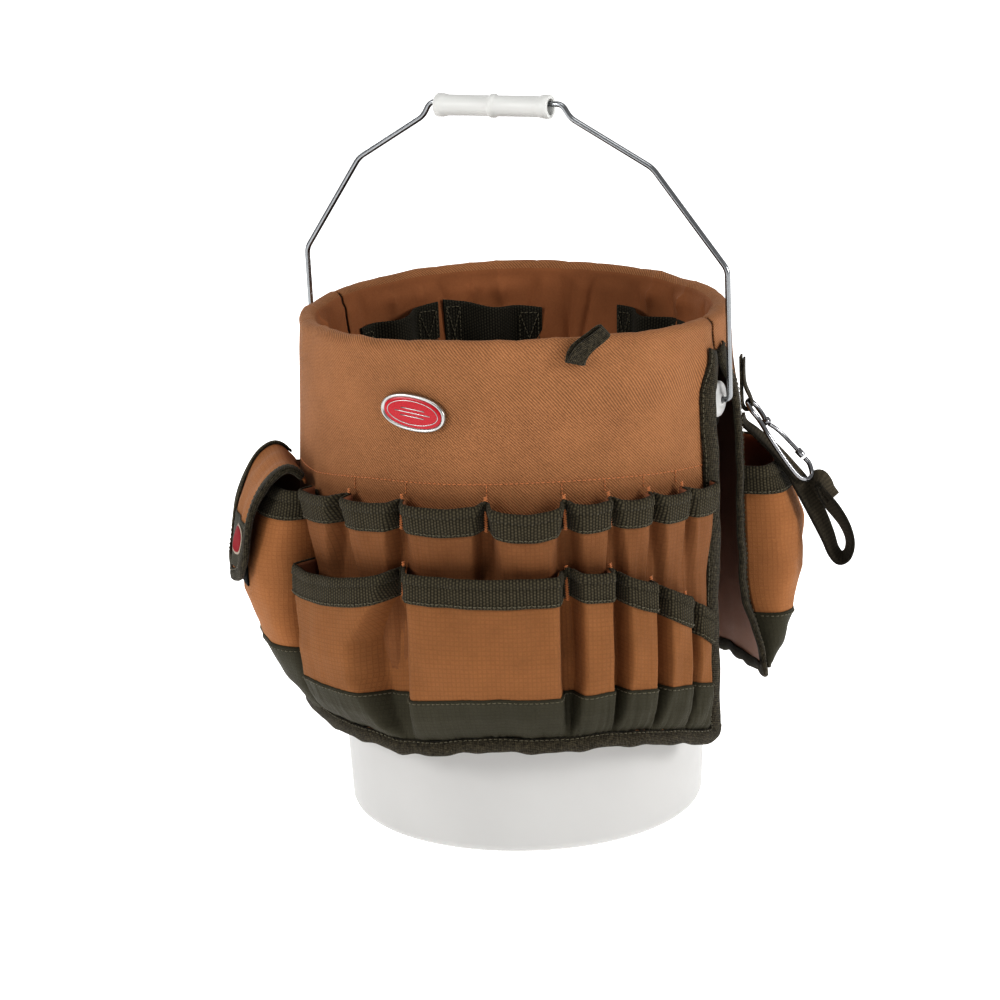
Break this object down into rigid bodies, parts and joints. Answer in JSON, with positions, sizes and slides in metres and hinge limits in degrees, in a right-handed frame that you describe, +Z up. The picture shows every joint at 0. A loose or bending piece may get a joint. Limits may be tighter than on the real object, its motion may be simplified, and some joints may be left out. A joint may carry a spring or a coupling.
{
  "type": "tool bucket organizer",
  "caption": "Cloth tool organizer with two rings of outside pockets, hung over the rim of a white plastic pail with a wire bail and grip.",
  "frame": {"origin": "centre of the pail's base, on the floor", "axes": "+Z up along the pail's axis, -Y towards the front of the organizer, +X to the right of someone facing it"},
  "size_m": [0.4615, 0.3851, 0.5268],
  "materials": {
    "white_plastic": "smooth, slightly translucent white",
    "plated_steel": "bright plated wire",
    "red_enamel": "gloss",
    "black_tape": "hook and loop tape",
    "olive_webbing": "ribbed webbing",
    "olive_cloth": "coated plain weave",
    "brown_cloth": "heavy woven polyester"
  },
  "bodies": {
    "carrier": {"badge_frame": "plated_steel", "badge_plate": "red_enamel", "bucket_shell": "white_plastic", "drill_holster": "brown_cloth", "drill_holster_boot": "olive_cloth", "drill_holster_webbing": "olive_webbing", "front_binding": "olive_webbing", "front_boot_band": "olive_cloth", "front_lower_webbing": "olive_webbing", "front_pocket_1": "brown_cloth", "front_pocket_2": "brown_cloth", "front_pocket_3": "brown_cloth", "front_pocket_4": "brown_cloth", "front_pocket_5": "brown_cloth", "front_pocket_6": "brown_cloth", "front_sleeve_1": "brown_cloth", "front_sleeve_2": "brown_cloth", "front_sleeve_3": "brown_cloth", "front_sleeve_4": "brown_cloth", "front_sleeve_5": "brown_cloth", "front_sleeve_6": "brown_cloth", "front_sleeve_7": "brown_cloth", "front_sleeve_8": "brown_cloth", "front_upper_webbing": "olive_webbing", "front_wrap": "brown_cloth", "hammer_loop_1": "olive_webbing", "hammer_loop_2": "olive_webbing", "hammer_loop_3": "olive_webbing", "hook_loop": "olive_webbing", "phone_pouch": "brown_cloth", "phone_pouch_boot": "olive_cloth", "phone_pouch_webbing": "olive_webbing", "pouch_loop_tape": "black_tape", "rear_binding": "olive_webbing", "rear_boot_band": "olive_cloth", "rear_lower_webbing": "olive_webbing", "rear_pocket_1": "brown_cloth", "rear_pocket_2": "brown_cloth", "rear_pocket_3": "brown_cloth", "rear_pocket_4": "brown_cloth", "rear_sleeve_1": "brown_cloth", "rear_sleeve_2": "brown_cloth", "rear_sleeve_3": "brown_cloth", "rear_sleeve_4": "brown_cloth", "rear_sleeve_5": "brown_cloth", "rear_sleeve_6": "brown_cloth", "rear_upper_webbing": "olive_webbing", "rear_wrap": "brown_cloth", "rim_tab": "olive_webbing"},
    "bail": {"bail_wire": "plated_steel"},
    "grip": {"bail_grip": "white_plastic"},
    "flap": {"flap_panel": "brown_cloth", "flap_binding": "olive_webbing", "flap_label": "olive_cloth", "flap_hook_tape": "black_tape"},
    "strap": {"tape_strap": "olive_webbing", "snap_hook": "plated_steel"},
    "gate": {"snap_gate": "plated_steel"}
  },
  "joints": [
    {"name": "bail_swing", "type": "hinge", "parent": "carrier", "child": "bail", "pos_m": [0, 0, 0.316], "axis": [0.891, -0.454, 0], "range_deg": [-90, 90]},
    {"name": "grip_spin", "type": "hinge", "parent": "bail", "child": "grip", "pos_m": [-0.01025, 0.00522, 0.5176], "axis": [0.8909, -0.4539, 0.0163], "continuous": true},
    {"name": "flap_lift", "type": "hinge", "parent": "carrier", "child": "flap", "pos_m": [-0.16513, -0.0309, 0.267], "axis": [-0.1839, 0.9829, 0], "range_deg": [0, 75]},
    {"name": "strap_swing", "type": "hinge", "parent": "carrier", "child": "strap", "pos_m": [0.16589, -0.03225, 0.3036], "axis": [-0.1908, -0.9816, 0], "range_deg": [0, 35]},
    {"name": "gate_press", "type": "hinge", "parent": "strap", "child": "gate", "pos_m": [0.18189, -0.03175, 0.2867], "axis": [-0.7226, 0.3348, -0.6047], "range_deg": [0, 20], "stiffness_Nm_per_rad": 0.25, "springref_deg": -5.73}
  ]
}
